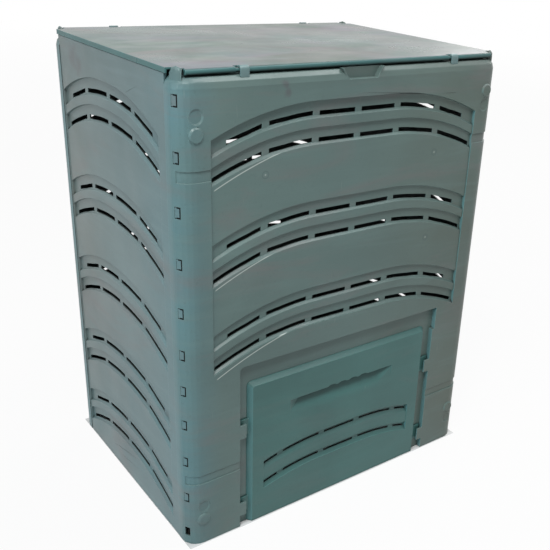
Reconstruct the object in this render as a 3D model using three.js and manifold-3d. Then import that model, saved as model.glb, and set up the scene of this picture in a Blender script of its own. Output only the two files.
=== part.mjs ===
// Garden compost bin: four interlocking moulded panels, a lift-out hatch and a hinged lid.
// Millimetres, Z up. The front faces -Y and the origin is on the ground under the bin's centre.
import * as THREE from 'three';
import { mergeVertices } from 'three/addons/utils/BufferGeometryUtils.js';
import Module from 'manifold-3d';

const wasm = await Module();
wasm.setup();

// Whole bin
const binWidth = 710;
const binDepth = 530;
const binHeight = 900;
const wall = 3;
const fitGap = 0.4;
const seatGap = 0.3;
const overrun = 6;
const weld = 0.0001;

// Front and back panels: each turns both corners, ends in a short cheek and has a rolled rim
const cornerRadius = 32;
const cheekLength = 10;
const rimRadius = 19;
const rimLip = 2;
const cornerShares = [0, 0.105, 0.21, 0.445, 0.63, 0.82, 1];
const rimSteps = 3;

// Lid
const lidThickness = 3.2;
const lidCrown = 4;
const skirtHeight = 8.5;
const skirtSeatGap = 0.9;
const rodRadius = 4.8;
const rodInset = 13;
const rodRimGap = 1;
const rodSides = 10;
const rodEndGap = 0.8;
const lidRibDepth = 8;
const lidRibThickness = 2.5;
const lidRibMargin = 44;
const lidRibShares = [-0.55, 0, 0.55];
const lidLipDepth = 9;
const lidLipGap = 1.5;

// Corner ears that the lid's corners are notched around
const earInset = 5;
const earThickness = 8;
const earStart = THREE.MathUtils.degToRad(3);
const earEnd = THREE.MathUtils.degToRad(51);
const earRise = 3.8;
const earRound = 8;
const earClearance = 2.6;
const earSteps = 3;
const earDomeSteps = 4;

// Hooks over the pins in the lid rods' slits: the front pair swings, the rear pair is the hinge
const hookWidth = 16;
const hookPlaceShare = 0.6535;
const hookThickness = 3;
const hookPinGap = 0.5;
const hookSideGap = 0.6;
const hookTipAngle = THREE.MathUtils.degToRad(148);
const hookSteps = 6;
const pinRadius = 3.2;
const slitGap = 1.2;
const slitNearGap = 1.5;
const slitFarGap = 7.3;

// Snap windows in the cheeks, filled by the barbs of the side panels; the lowest one is open
const windowWidth = 11.4;
const windowHeight = 20;
const windowAngle = THREE.MathUtils.degToRad(29.5);
const windowShares = [0.948, 0.849, 0.749, 0.649, 0.549, 0.459, 0.379, 0.3, 0.211, 0.121];
const openWindowShare = 0.0306;
const barbGap = 1.2;
const barbSink = 1;

// Side panels
const sideSetback = 1;
const flangeEnd = THREE.MathUtils.degToRad(46);
const flangeTopGap = 4;
const flangeBottomShare = 0.07;
const joggle = 8;

// Louvred vents: arched steps with slots below them, in a shallow field
const stepDraft = 1.5;
const frontVents = {
  topShares: [0.932, 0.733, 0.544],
  shift: 0,
  field: 2.2,
  row: 6.8,
  pitch: 46.6,
  drop: 19.3,
  slot: 8,
  lip: 3.3,
  margin: 57,
  flat: 85,
  radius: 490,
  bridge: 14,
  bridgeShares: [-0.646, -0.303, 0.007, 0.317, 0.66],
  steps: 3,
  endShares: [0.895, 0.985],
};
const sideVents = {
  topShares: [0.931, 0.7265, 0.537, 0.3475, 0.176],
  shift: -12,
  field: 1,
  row: 5.5,
  pitch: 48.6,
  drop: 20.5,
  slot: 8,
  lip: 3,
  margin: 57,
  flat: 12,
  radius: 410,
  bridge: 13,
  bridgeShares: [-0.488, 0, 0.488],
  steps: 3,
  endShares: [0.845, 0.95],
};

// Strap recesses, bosses and dimples near the corners
const strapDepth = 1.8;
const strapHeight = 19;
const strapShares = [0.815, 0.165];
const strapStart = THREE.MathUtils.degToRad(27);
const bossRadius = 13.2;
const bossHeight = 2.6;
const dimpleDepth = 1.9;
const bossPitch = 29;
const bossShares = [0.905, 0.079];
const bossSides = 8;
const capShares = [[1, 0], [0.8, 1]];

// Scoop for the fingers in the front rim
const scoopTopWidth = 88;
const scoopBottomWidth = 64;
const scoopHeight = 19.4;
const scoopDepth = 11;
const scoopShift = 5;

// Hatch, its recess in the front panel and the lugs that hold it
const recessWidth = 488;
const recessHeight = 364;
const recessDepth = 11;
const recessRound = 9;
const recessStepWidth = 6;
const recessStepHeight = 52;
const doorwayMargin = 39;
const doorwayTop = 59;
const sillHeight = 20;
const doorGap = 20;
const doorLift = 40;
const doorGroundGap = 1;
const doorBevel = 8;
const doorRound = 9;
const doorWall = 3;
const doorSink = 0.3;
const lugWidth = 14;
const lugHeight = 30;
const lugShares = [0.1115, 0.6115];
const doorHookHeight = 36;
const doorHookThickness = 3;
const doorHookEndGap = 3.2;
const doorVents = {
  top: 158,
  shift: 0,
  field: 0.8,
  row: 5.5,
  pitch: 46.6,
  drop: 7.5,
  slot: 5,
  lip: 7.5,
  margin: 26,
  flat: 50,
  radius: 480,
  bridge: 14.5,
  bridgeShares: [-0.779, -0.242, 0.242, 0.779],
  steps: 3,
  endShares: [0.984, 0.984],
};

// Grip groove in the hatch, with finger scallops along its upper edge
const gripHalf = 130;
const gripTaper = 34;
const gripBottom = 226;
const gripSag = 5;
const gripHeight = 31;
const gripDepth = 16;
const gripEndDepth = 1.5;
const gripLedge = 4;
const scallopWidth = 20;
const scallopRise = 3.2;
const scallopPitch = 27;
const scallopCount = 4;
const scallopShift = 13;
const scallopSteps = 5;

// Sizes that follow from the ones above
const rodHeight = binHeight - rodRadius;
const rimTop = rodHeight - rodRadius - rodRimGap;
const rimBase = rimTop - rimRadius;
const sideTop = binHeight - skirtHeight - skirtSeatGap;
const hookPlace = (binWidth / 2) * hookPlaceShare;
const hookReach = pinRadius + hookPinGap + hookThickness;
const doorHalf = recessWidth / 2 - doorGap;
const doorTop = recessHeight - doorLift - doorGroundGap;

// Colours of the moulded plastic
const panelColour = 0x5f716d;
const sideColour = 0x64787a;
const lidColour = 0x7b8b88;
const hatchColour = 0x4b6a6a;
const hookColour = 0x6b807f;

// A closed geometry as a solid that can be cut and joined.
function solid(geometry) {
  const bare = geometry.clone();
  bare.deleteAttribute('normal');
  bare.deleteAttribute('uv');
  const merged = mergeVertices(bare, weld);
  return new wasm.Manifold(
    new wasm.Mesh({
      numProp: 3,
      vertProperties: new Float32Array(merged.attributes.position.array),
      triVerts: new Uint32Array(merged.index.array),
    }),
  );
}

function joined(solids) {
  return solids.reduce((sum, item) => sum.add(item));
}

function without(body, cuts) {
  return cuts.reduce((rest, cut) => rest.subtract(cut), body);
}

// A solid as a named mesh in its own plastic.
function piece(name, body, colour, roughness) {
  const mesh = body.getMesh();
  const geometry = new THREE.BufferGeometry();
  geometry.setAttribute('position', new THREE.BufferAttribute(mesh.vertProperties, 3));
  geometry.setIndex(new THREE.BufferAttribute(mesh.triVerts, 1));
  geometry.computeVertexNormals();
  const material = new THREE.MeshStandardMaterial({ color: colour, roughness, metalness: 0 });
  const made = new THREE.Mesh(geometry, material);
  made.name = name;
  return made;
}

// A closed skin over rings of points, which turn counter-clockwise seen from the last ring's side.
function skin(rings, outline) {
  const count = outline.length;
  const points = rings.flat();
  const faces = [];
  for (let ring = 0; ring + 1 < rings.length; ring += 1) {
    for (let i = 0; i < count; i += 1) {
      const next = (i + 1) % count;
      const here = ring * count;
      const there = here + count;
      faces.push(here + i, here + next, there + next);
      faces.push(here + i, there + next, there + i);
    }
  }
  const last = (rings.length - 1) * count;
  for (const [a, b, c] of THREE.ShapeUtils.triangulateShape(outline, [])) {
    faces.push(last + a, last + b, last + c);
    faces.push(c, b, a);
  }
  const geometry = new THREE.BufferGeometry().setFromPoints(points);
  geometry.setIndex(faces);
  return solid(geometry);
}

// Panel frame: X to the right, Y inwards from the outer face, Z up.
// A flat outline in X and Z, pressed from one depth to another.
function pressed(shape, from, to) {
  const geometry = new THREE.ExtrudeGeometry(shape, {
    depth: to - from,
    bevelEnabled: false,
    curveSegments: rimSteps,
  });
  return solid(geometry.rotateX(Math.PI / 2).translate(0, to, 0));
}

// A plan outline in X and Y, raised from one height to another.
function raised(shape, from, to) {
  const geometry = new THREE.ExtrudeGeometry(shape, { depth: to - from, bevelEnabled: false });
  return solid(geometry.translate(0, 0, from));
}

function block(x0, x1, y0, y1, z0, z1) {
  const geometry = new THREE.BoxGeometry(x1 - x0, y1 - y0, z1 - z0);
  return solid(geometry.translate((x0 + x1) / 2, (y0 + y1) / 2, (z0 + z1) / 2));
}

function outlineOf(points) {
  return new THREE.Shape(points.map(([x, y]) => new THREE.Vector2(x, y)));
}

// A box that stands across a rounded corner at an angle measured from the side face.
function cornerBlock(centreX, centreY, side, angle, across, radial, z0, z1) {
  const [from, to] = across;
  const [near, far] = radial;
  const geometry = new THREE.BoxGeometry(to - from, far - near, z1 - z0);
  geometry.translate((from + to) / 2, -(near + far) / 2, (z0 + z1) / 2);
  geometry.rotateZ(side * angle);
  return solid(geometry.translate(centreX, centreY, 0));
}

// Arched lines of a vent: level in the middle, curving down towards both ends.
function archOf(vents, reach) {
  const run = reach - vents.flat;
  const drop = (x) => {
    const past = Math.max(0, Math.abs(x) - vents.flat);
    return vents.radius - Math.sqrt(vents.radius ** 2 - past ** 2);
  };
  const breaks = [];
  for (let i = 0; i <= vents.steps; i += 1) {
    const at = vents.flat + (run * i) / vents.steps;
    breaks.push(at, -at);
  }
  const places = (from, to) => {
    const inner = breaks.filter((x) => x > from + wall && x < to - wall);
    return [from, ...inner.sort((a, b) => a - b), to];
  };
  return { drop, places };
}

// A band that follows the arch: its outline is in depth and height below the band's line.
function archedBar(arch, outline, from, to, level) {
  const flat = outline.map(([depth, z]) => new THREE.Vector2(depth, z));
  const rings = arch.places(from, to).map((x) =>
    flat.map((p) => new THREE.Vector3(x, p.x, level + p.y - arch.drop(x))),
  );
  return skin(rings, flat);
}

// A flat outline between two arched lines.
function archedField(arch, reach, top, bottom) {
  const xs = arch.places(-reach, reach);
  const upper = xs.map((x) => [x, top - arch.drop(x)]);
  const lower = xs.map((x) => [x, bottom - arch.drop(x)]).reverse();
  return outlineOf([...upper, ...lower]);
}

// The solid stretches of one slotted row, between its bridges.
function slotSpans(vents, reach, endShare) {
  const half = vents.bridge / 2;
  const edges = vents.bridgeShares.flatMap((share) => [share * reach - half, share * reach + half]);
  const all = [-endShare * reach, ...edges, endShare * reach];
  const spans = [];
  for (let i = 0; i < all.length; i += 2) {
    spans.push([all[i], all[i + 1]]);
  }
  return spans;
}

// Everything that a run of vent bands adds to a panel's back and cuts from its face.
function ventWork(vents, reach, tops, face) {
  const arch = archOf(vents, reach);
  const { drop, slot, pitch } = vents;
  const field = face + vents.field;
  const row = face + vents.row;
  const floor = drop + slot + vents.lip;
  const bandBottom = pitch + floor;
  const lowest = tops[tops.length - 1] - bandBottom;
  const wide = reach + wall;
  const adds = [
    pressed(archedField(arch, wide, tops[0] + wall, lowest - wall), face + wall / 2, field + wall),
  ];
  const cuts = [pressed(archedField(arch, reach, tops[0], lowest), -overrun, field)];
  const profile = [
    [-overrun, -floor],
    [field, -floor],
    [row, -(drop + slot)],
    [row, -stepDraft],
    [field, 0],
    [-overrun, 0],
  ];
  const opening = [
    [field, -(drop + slot)],
    [row + wall + overrun, -(drop + slot)],
    [row + wall + overrun, -drop],
    [field, -drop],
  ];
  for (const top of tops) {
    const backing = archedField(arch, wide, top + wall, top - bandBottom - wall);
    adds.push(pressed(backing, field + wall / 2, row + wall));
    vents.endShares.forEach((endShare, index) => {
      const level = top - index * pitch;
      cuts.push(archedBar(arch, profile, -reach, reach, level));
      for (const [from, to] of slotSpans(vents, reach, endShare)) {
        cuts.push(archedBar(arch, opening, from, to, level));
      }
    });
  }
  const placed = (solids) => solids.map((item) => item.translate([vents.shift, 0, 0]));
  return { adds: placed(adds), cuts: placed(cuts) };
}

// A point of the rim's rounded section in depth and height, at one step of its turn.
function rimPoint(radius, step) {
  const angle = (Math.PI / 2) * (step / rimSteps);
  return [rimRadius - radius * Math.cos(angle), rimBase + radius * Math.sin(angle)];
}

// Height of the rim's outer face at a depth.
function rimHeight(depth) {
  for (let step = 1; step <= rimSteps; step += 1) {
    const [nearDepth, low] = rimPoint(rimRadius, step - 1);
    const [farDepth, high] = rimPoint(rimRadius, step);
    if (depth <= farDepth) {
      return low + ((high - low) * (depth - nearDepth)) / (farDepth - nearDepth);
    }
  }
  return rimTop;
}

// The shell of a front or back panel: its section swept round both corners.
function wrapShell() {
  const half = binWidth / 2;
  const section = [new THREE.Vector2(0, 0), new THREE.Vector2(wall, 0)];
  for (let i = 0; i <= rimSteps; i += 1) {
    section.push(new THREE.Vector2(...rimPoint(rimRadius - wall, i)));
  }
  section.push(new THREE.Vector2(rimRadius + rimLip, rimTop - wall));
  section.push(new THREE.Vector2(rimRadius + rimLip, rimTop));
  for (let i = rimSteps; i >= 0; i -= 1) {
    section.push(new THREE.Vector2(...rimPoint(rimRadius, i)));
  }
  const stations = [{ x: -half, y: cornerRadius + cheekLength, nx: 1, ny: 0 }];
  for (const side of [-1, 1]) {
    const turns = cornerShares.map((share) => (Math.PI / 2) * share);
    for (const turn of side < 0 ? turns : turns.reverse()) {
      const nx = -side * Math.cos(turn);
      const ny = Math.sin(turn);
      const centre = side * (half - cornerRadius);
      stations.push({ x: centre - cornerRadius * nx, y: cornerRadius - cornerRadius * ny, nx, ny });
    }
  }
  stations.push({ x: half, y: cornerRadius + cheekLength, nx: -1, ny: 0 });
  const rings = stations.map(({ x, y, nx, ny }) =>
    section.map((p) => new THREE.Vector3(x + nx * p.x, y + ny * p.x, p.y)),
  );
  return skin(rings, section);
}

// An upright ear: a slice of the rounded corner with a domed top.
function ear(side) {
  const centreX = side * (binWidth / 2 - cornerRadius);
  const outer = cornerRadius - earInset;
  const inner = outer - earThickness;
  const top = binHeight + earRise;
  const bottom = rimBase + wall;
  const plan = [];
  for (const [radius, from, to] of [[outer, earStart, earEnd], [inner, earEnd, earStart]]) {
    for (let i = 0; i <= earSteps; i += 1) {
      const angle = from + ((to - from) * i) / earSteps;
      plan.push([side * radius * Math.cos(angle), -radius * Math.sin(angle)]);
    }
  }
  const post = raised(outlineOf(plan), bottom, top);
  const middle = (earStart + earEnd) / 2;
  const half = outer * Math.sin((earEnd - earStart) / 2);
  const dome = [[-half, bottom - overrun], [half, bottom - overrun]];
  for (let i = 0; i <= earDomeSteps; i += 1) {
    const angle = (Math.PI * i) / earDomeSteps;
    dome.push([half * Math.cos(angle), top - earRound + earRound * Math.sin(angle)]);
  }
  const geometry = new THREE.ExtrudeGeometry(outlineOf(dome), {
    depth: cornerRadius,
    bevelEnabled: false,
  });
  geometry.rotateX(Math.PI / 2);
  geometry.rotateZ(side * (Math.PI / 2 - middle));
  const made = post.intersect(solid(geometry));
  return made.translate([centreX, cornerRadius, 0]);
}

// The part of the corner that the lid leaves free for an ear.
function earNotch(side) {
  const centreX = side * (binWidth / 2 - cornerRadius);
  const inner = cornerRadius - earInset - earThickness - earClearance;
  const spread = earClearance / inner;
  const far = cornerRadius * 2;
  const plan = [];
  for (let i = 0; i <= earSteps; i += 1) {
    const angle = earStart - spread + ((earEnd - earStart + 2 * spread) * i) / earSteps;
    plan.push([side * inner * Math.cos(angle), -inner * Math.sin(angle)]);
  }
  for (const angle of [earEnd + spread, earStart - spread]) {
    plan.push([side * far * Math.cos(angle), -far * Math.sin(angle)]);
  }
  const body = raised(outlineOf(plan), binHeight / 2, binHeight * 2);
  return body.translate([centreX, cornerRadius, 0]);
}

// Windows of one cheek, cut through the rounded corner.
function cheekWindows(side) {
  const centreX = side * (binWidth / 2 - cornerRadius);
  return [...windowShares, openWindowShare].map((share) => {
    const z = binHeight * share;
    return cornerBlock(
      centreX,
      cornerRadius,
      side,
      Math.PI / 2 - windowAngle,
      [-windowWidth / 2, windowWidth / 2],
      [cornerRadius - wall - overrun, cornerRadius + overrun],
      z - windowHeight / 2,
      z + windowHeight / 2,
    );
  });
}

// A shallow strap recess that starts on the rounded corner and runs to a place on the face.
function strap(side, share, endX) {
  const centreX = binWidth / 2 - cornerRadius;
  const shape = new THREE.Shape();
  const outer = cornerRadius + overrun;
  const inner = cornerRadius - strapDepth;
  shape.moveTo(side * endX, -overrun);
  shape.lineTo(side * endX, strapDepth);
  shape.lineTo(side * centreX, strapDepth);
  const all = cornerShares.map((turnShare) => (Math.PI / 2) * turnShare);
  const turns = all.filter((turn) => turn > strapStart);
  for (const angle of [...turns.reverse(), strapStart]) {
    const x = side * (centreX + inner * Math.cos(angle));
    shape.lineTo(x, cornerRadius - inner * Math.sin(angle));
  }
  shape.lineTo(side * (centreX + outer), cornerRadius - outer * Math.sin(strapStart));
  shape.lineTo(side * (centreX + outer), -overrun);
  const z = binHeight * share;
  return raised(shape, z - strapHeight / 2, z + strapHeight / 2);
}

// A round cap whose tip points out of the face, or into it.
function cap(x, z, height, inwards) {
  const base = inwards ? overrun : wall - fitGap;
  const profile = [
    new THREE.Vector2(0, -base),
    new THREE.Vector2(bossRadius, -base),
    ...capShares.map(([across, up]) => new THREE.Vector2(bossRadius * across, height * up)),
    new THREE.Vector2(0, height),
  ];
  const geometry = new THREE.LatheGeometry(profile, bossSides);
  if (!inwards) {
    geometry.rotateX(Math.PI);
  }
  return solid(geometry.translate(x, 0, z));
}

// Bosses and dimples: the boss is above the dimple on the right and below it on the left.
function cornerMarks() {
  const adds = [];
  const cuts = [];
  for (const side of [-1, 1]) {
    for (const share of bossShares) {
      const x = side * (binWidth / 2 - cornerRadius);
      const middle = binHeight * share;
      adds.push(cap(x, middle + (side * bossPitch) / 2, bossHeight, false));
      cuts.push(cap(x, middle - (side * bossPitch) / 2, dimpleDepth, true));
    }
  }
  return { adds, cuts };
}

// A side view in depth and height, drawn out along X to a width about a place.
function sideways(outline, place, width) {
  const basis = new THREE.Matrix4().makeBasis(
    new THREE.Vector3(0, 1, 0),
    new THREE.Vector3(0, 0, 1),
    new THREE.Vector3(1, 0, 0),
  );
  const geometry = new THREE.ExtrudeGeometry(outline, { depth: width, bevelEnabled: false });
  return solid(geometry.applyMatrix4(basis).translate(place - width / 2, 0, 0));
}

// The seat in the rim for one hook: a filled stretch under the rounding, and the cut in it.
function hookSeat(place) {
  const front = rodInset - hookReach;
  const deep = front + hookThickness + fitGap;
  const from = front - wall;
  const to = deep + wall;
  const turns = [];
  for (let step = 0; step <= rimSteps; step += 1) {
    turns.push(rimPoint(rimRadius, step));
  }
  const between = turns.filter(([depth]) => depth > from && depth < to);
  const low = rimHeight(from);
  const section = outlineOf([[from, low], ...between, [to, rimHeight(to)], [to, low]]);
  const wide = hookWidth + 2 * hookSideGap;
  const filled = sideways(section, place, wide + 2 * wall);
  const bottom = rimHeight(front) - seatGap;
  const cut = block(place - wide / 2, place + wide / 2, -overrun, deep, bottom, rimTop + overrun);
  return { filled, cut };
}

// Side view of a hook in depth and height: it stands in the rim and curls over the lid's pin.
function hookOutline() {
  const inner = pinRadius + hookPinGap;
  const foot = rimHeight(rodInset - hookReach);
  const points = [[rodInset - hookReach, foot]];
  for (const radius of [hookReach, inner]) {
    const turns = [];
    for (let i = 0; i <= hookSteps; i += 1) {
      const angle = (hookTipAngle * i) / hookSteps;
      turns.push([rodInset - radius * Math.cos(angle), rodHeight + radius * Math.sin(angle)]);
    }
    points.push(...(radius === inner ? turns.reverse() : turns));
  }
  points.push([rodInset - inner, foot]);
  return outlineOf(points);
}

function hook(place) {
  return sideways(hookOutline(), place, hookWidth);
}

// A shallow scoop near the middle of the rim.
function scoop() {
  const top = rimTop + overrun;
  const bottom = rimTop - scoopHeight;
  const slope = (scoopTopWidth - scoopBottomWidth) / 2 / scoopHeight;
  const outline = (grow, low, high) => {
    const half = (z) => scoopBottomWidth / 2 + grow + (z - bottom) * slope;
    const corners = [[-half(low), low], [half(low), low], [half(high), high], [-half(high), high]];
    return outlineOf(corners.map(([x, z]) => [x + scoopShift, z]));
  };
  const backing = pressed(outline(wall, bottom - wall, rimTop), wall / 2, scoopDepth + wall);
  const cut = pressed(outline(0, bottom, top), -overrun, scoopDepth);
  return { backing, cut };
}

function archedRecess(half, top, bottom, round) {
  const shape = new THREE.Shape();
  shape.moveTo(-half, bottom);
  shape.lineTo(half, bottom);
  shape.lineTo(half, top - round);
  shape.absarc(half - round, top - round, round, 0, Math.PI / 2, false);
  shape.lineTo(-half + round, top);
  shape.absarc(-half + round, top - round, round, Math.PI / 2, Math.PI, false);
  shape.lineTo(-half, bottom);
  return shape;
}

// The recess for the hatch, the doorway behind it and the lugs that hold the hatch.
function hatchField() {
  const half = recessWidth / 2;
  const deep = recessDepth + wall;
  const doorwayHalf = half - doorwayMargin;
  const around = archedRecess(half + wall, recessHeight + wall, 0, recessRound + wall);
  const inside = archedRecess(half, recessHeight, -overrun, recessRound);
  const opening = archedRecess(doorwayHalf, recessHeight - doorwayTop, sillHeight, recessRound);
  const stepLow = recessHeight - recessStepHeight;
  const stepX = half + recessStepWidth;
  const surround = pressed(around, wall / 2, deep).add(
    block(half, stepX + wall, wall / 2, deep, stepLow - wall, recessHeight + wall),
  );
  const recess = pressed(inside, -overrun, recessDepth).add(
    block(half - recessRound, stepX, -overrun, recessDepth, stepLow, recessHeight),
  );
  const doorway = pressed(opening, 0, deep + overrun);
  const lugs = [];
  for (const share of lugShares) {
    const from = recessHeight * share - lugHeight / 2;
    for (const side of [-1, 1]) {
      const ends = [side * (half + wall / 2), side * (half - lugWidth)];
      lugs.push(block(Math.min(...ends), Math.max(...ends), 0, wall, from, from + lugHeight));
    }
  }
  return { surround, recess, doorway, lugs };
}

// The front panel, or the back one, whose hatch field is closed.
function wrapPanel(hasHatch, archSteps) {
  const marks = cornerMarks();
  const reach = binWidth / 2 - frontVents.margin;
  const tops = frontVents.topShares.map((share) => share * binHeight);
  const vents = ventWork({ ...frontVents, steps: archSteps }, reach, tops, 0);
  const fingers = scoop();
  const hatch = hatchField();
  const adds = [wrapShell(), ...marks.adds, ...vents.adds, fingers.backing, hatch.surround];
  const cuts = [...marks.cuts, ...vents.cuts, fingers.cut, hatch.recess];
  for (const side of [-1, 1]) {
    const seat = hookSeat(side * hookPlace);
    adds.push(ear(side), seat.filled);
    cuts.push(...cheekWindows(side), seat.cut);
    cuts.push(strap(side, strapShares[0], reach));
    cuts.push(strap(side, strapShares[1], recessWidth / 2 - wall));
  }
  const body = without(joined(adds), cuts);
  return hasHatch ? joined([body.subtract(hatch.doorway), ...hatch.lugs]) : body;
}

// A side panel's flange, which runs inside the cheek, and the barbs on it.
function sideFlange(side) {
  const centre = binDepth / 2 - cornerRadius;
  const outer = cornerRadius - wall - fitGap;
  const inner = outer - wall;
  const seam = binDepth / 2 - cornerRadius - cheekLength - fitGap;
  const top = rimBase - flangeTopGap;
  const points = [[side * (seam - joggle), cornerRadius - outer], [side * centre, cornerRadius - outer]];
  const turns = cornerShares.map((share) => (Math.PI / 2) * share).filter((turn) => turn < flangeEnd);
  turns.push(flangeEnd);
  for (const radius of [outer, inner]) {
    for (const angle of turns) {
      points.push([side * (centre + radius * Math.sin(angle)), cornerRadius - radius * Math.cos(angle)]);
    }
    turns.reverse();
  }
  points.push([side * (seam - joggle), cornerRadius - inner]);
  const flange = raised(outlineOf(points), binHeight * flangeBottomShare, top);
  const barbs = windowShares.map((share) => {
    const z = binHeight * share;
    const half = windowHeight / 2 - barbGap;
    return cornerBlock(
      side * centre,
      cornerRadius,
      side,
      windowAngle,
      side > 0
        ? [-windowWidth / 2 + seatGap, windowWidth / 2 - barbGap]
        : [-windowWidth / 2 + barbGap, windowWidth / 2 - seatGap],
      [inner + wall / 2, cornerRadius - barbSink],
      z - half,
      z + half,
    );
  });
  return joined([flange, ...barbs]);
}

function sidePanel() {
  const seam = binDepth / 2 - cornerRadius - cheekLength - fitGap;
  const back = wall + fitGap + wall;
  const plate = outlineOf([
    [-seam, sideSetback],
    [seam, sideSetback],
    [seam, back],
    [seam - joggle, back],
    [seam - joggle - wall, sideSetback + wall],
    [-seam + joggle + wall, sideSetback + wall],
    [-seam + joggle, back],
    [-seam, back],
  ]);
  const reach = binDepth / 2 - sideVents.margin;
  const tops = sideVents.topShares.map((share) => share * binHeight);
  const vents = ventWork(sideVents, reach, tops, sideSetback);
  const body = joined([raised(plate, 0, sideTop), ...vents.adds, sideFlange(-1), sideFlange(1)]);
  return without(body, vents.cuts);
}

// A rounded frustum ring of the hatch at one depth.
function hatchRing(half, top, round, depth) {
  const points = [[-half, doorGroundGap], [half, doorGroundGap]];
  for (const side of [1, -1]) {
    for (let i = 0; i <= rimSteps; i += 1) {
      const turn = (Math.PI / 2) * (i / rimSteps);
      const angle = side > 0 ? turn : Math.PI / 2 + turn;
      const x = side * (half - round) + round * Math.cos(angle);
      points.push([x, top - round + round * Math.sin(angle)]);
    }
  }
  return points.map(([x, z]) => new THREE.Vector3(x, depth, z));
}

// The grip groove as a body: deep under its upper edge, running out at the bottom and the ends.
function gripBody(grow, face) {
  const top = gripBottom + gripHeight;
  const inner = gripHalf - gripTaper;
  const places = [-gripHalf, -inner, -inner / 2, inner / 2, inner, gripHalf];
  const rings = places.map((x, i) => {
    const atEnd = i === 0 || i === places.length - 1;
    const deep = grow + (atEnd ? gripEndDepth : gripDepth);
    const bottom = gripBottom - grow + gripSag * (x / gripHalf) ** 2;
    const across = x + (atEnd ? Math.sign(x) * grow : 0);
    const section = [
      [face, bottom],
      [doorSink + grow, bottom],
      [deep, top - gripLedge],
      [deep, top + grow],
      [face, top + grow],
    ];
    return section.map(([y, z]) => new THREE.Vector3(across, y, z));
  });
  return skin(rings, rings[1].map((p) => new THREE.Vector2(p.y, p.z)));
}

// Finger scallops along the upper edge of the grip groove.
function scallops(grow, face) {
  const base = gripBottom + gripHeight - gripLedge;
  const first = scallopShift - (scallopPitch * (scallopCount - 1)) / 2;
  const points = [];
  for (let i = 0; i < scallopCount; i += 1) {
    for (let step = 0; step <= scallopSteps; step += 1) {
      const turn = Math.PI * (1 - step / scallopSteps);
      const x = first + i * scallopPitch + (scallopWidth / 2) * Math.cos(turn);
      points.push([x, base + gripLedge + scallopRise * Math.sin(turn) + grow]);
    }
  }
  const ends = [points[points.length - 1][0] + grow, points[0][0] - grow];
  points.push([ends[0], base + grow], [ends[0], base], [ends[1], base], [ends[1], base + grow]);
  return pressed(outlineOf(points.reverse()), face, gripDepth + grow);
}

function doorPanel() {
  const seat = recessDepth - fitGap;
  const face = doorHalf - doorBevel;
  const rings = [
    hatchRing(doorHalf, doorTop, doorRound, seat),
    hatchRing(face, doorTop - doorBevel, doorRound / 2, doorSink),
  ];
  const shell = skin(rings, rings[0].map((p) => new THREE.Vector2(p.x, p.z)));
  const hollowRings = [
    hatchRing(doorHalf - doorWall, doorTop - doorWall, doorRound, seat + overrun),
    hatchRing(face - doorWall, doorTop - doorBevel - doorWall, doorRound / 2, doorSink + doorWall),
  ];
  const floor = doorGroundGap + doorWall;
  const cavity = skin(hollowRings, hollowRings[0].map((p) => new THREE.Vector2(p.x, p.z)));
  const foot = block(-doorHalf, doorHalf, doorSink + doorWall / 2, seat, doorGroundGap, floor);
  const footEnds = skin(rings, rings[0].map((p) => new THREE.Vector2(p.x, p.z))).intersect(foot);
  const reach = doorHalf - doorBevel - doorVents.margin;
  const vents = ventWork(doorVents, reach, [doorVents.top], doorSink);
  const hooks = [];
  for (const share of lugShares) {
    const low = recessHeight * share - lugHeight / 2 + doorGroundGap;
    for (const side of [-1, 1]) {
      const ends = [side * (doorHalf - doorWall), side * (recessWidth / 2 - doorHookEndGap)];
      const x0 = Math.min(...ends);
      const x1 = Math.max(...ends);
      hooks.push(block(x0, x1, seat - doorHookThickness, seat, low, low + doorHookHeight));
    }
  }
  const inside = doorSink + doorWall / 2;
  const gripBack = joined([gripBody(doorWall, inside), scallops(doorWall, inside)]);
  const body = joined([
    without(shell, [cavity]),
    footEnds,
    ...vents.adds,
    gripBack,
    ...hooks,
  ]);
  const groove = joined([gripBody(0, -overrun), scallops(0, -overrun)]);
  return without(body, [...vents.cuts, groove]);
}

// A four-sided crowned sheet between an upper surface and a lower one.
function crowned(halfX, halfY, low, crown) {
  const corners = [[-halfX, -halfY], [halfX, -halfY], [halfX, halfY], [-halfX, halfY]];
  const points = [];
  for (const z of low) {
    for (const [x, y] of corners) {
      points.push(new THREE.Vector3(x, y, z));
    }
  }
  points.push(new THREE.Vector3(0, 0, low[0] + crown[0]), new THREE.Vector3(0, 0, low[1] + crown[1]));
  const faces = [];
  for (let i = 0; i < 4; i += 1) {
    const next = (i + 1) % 4;
    faces.push(next, i, 8);
    faces.push(4 + i, 4 + next, 9);
    faces.push(i, next, 4 + next, i, 4 + next, 4 + i);
  }
  const geometry = new THREE.BufferGeometry().setFromPoints(points);
  geometry.setIndex(faces);
  return solid(geometry);
}

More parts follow.
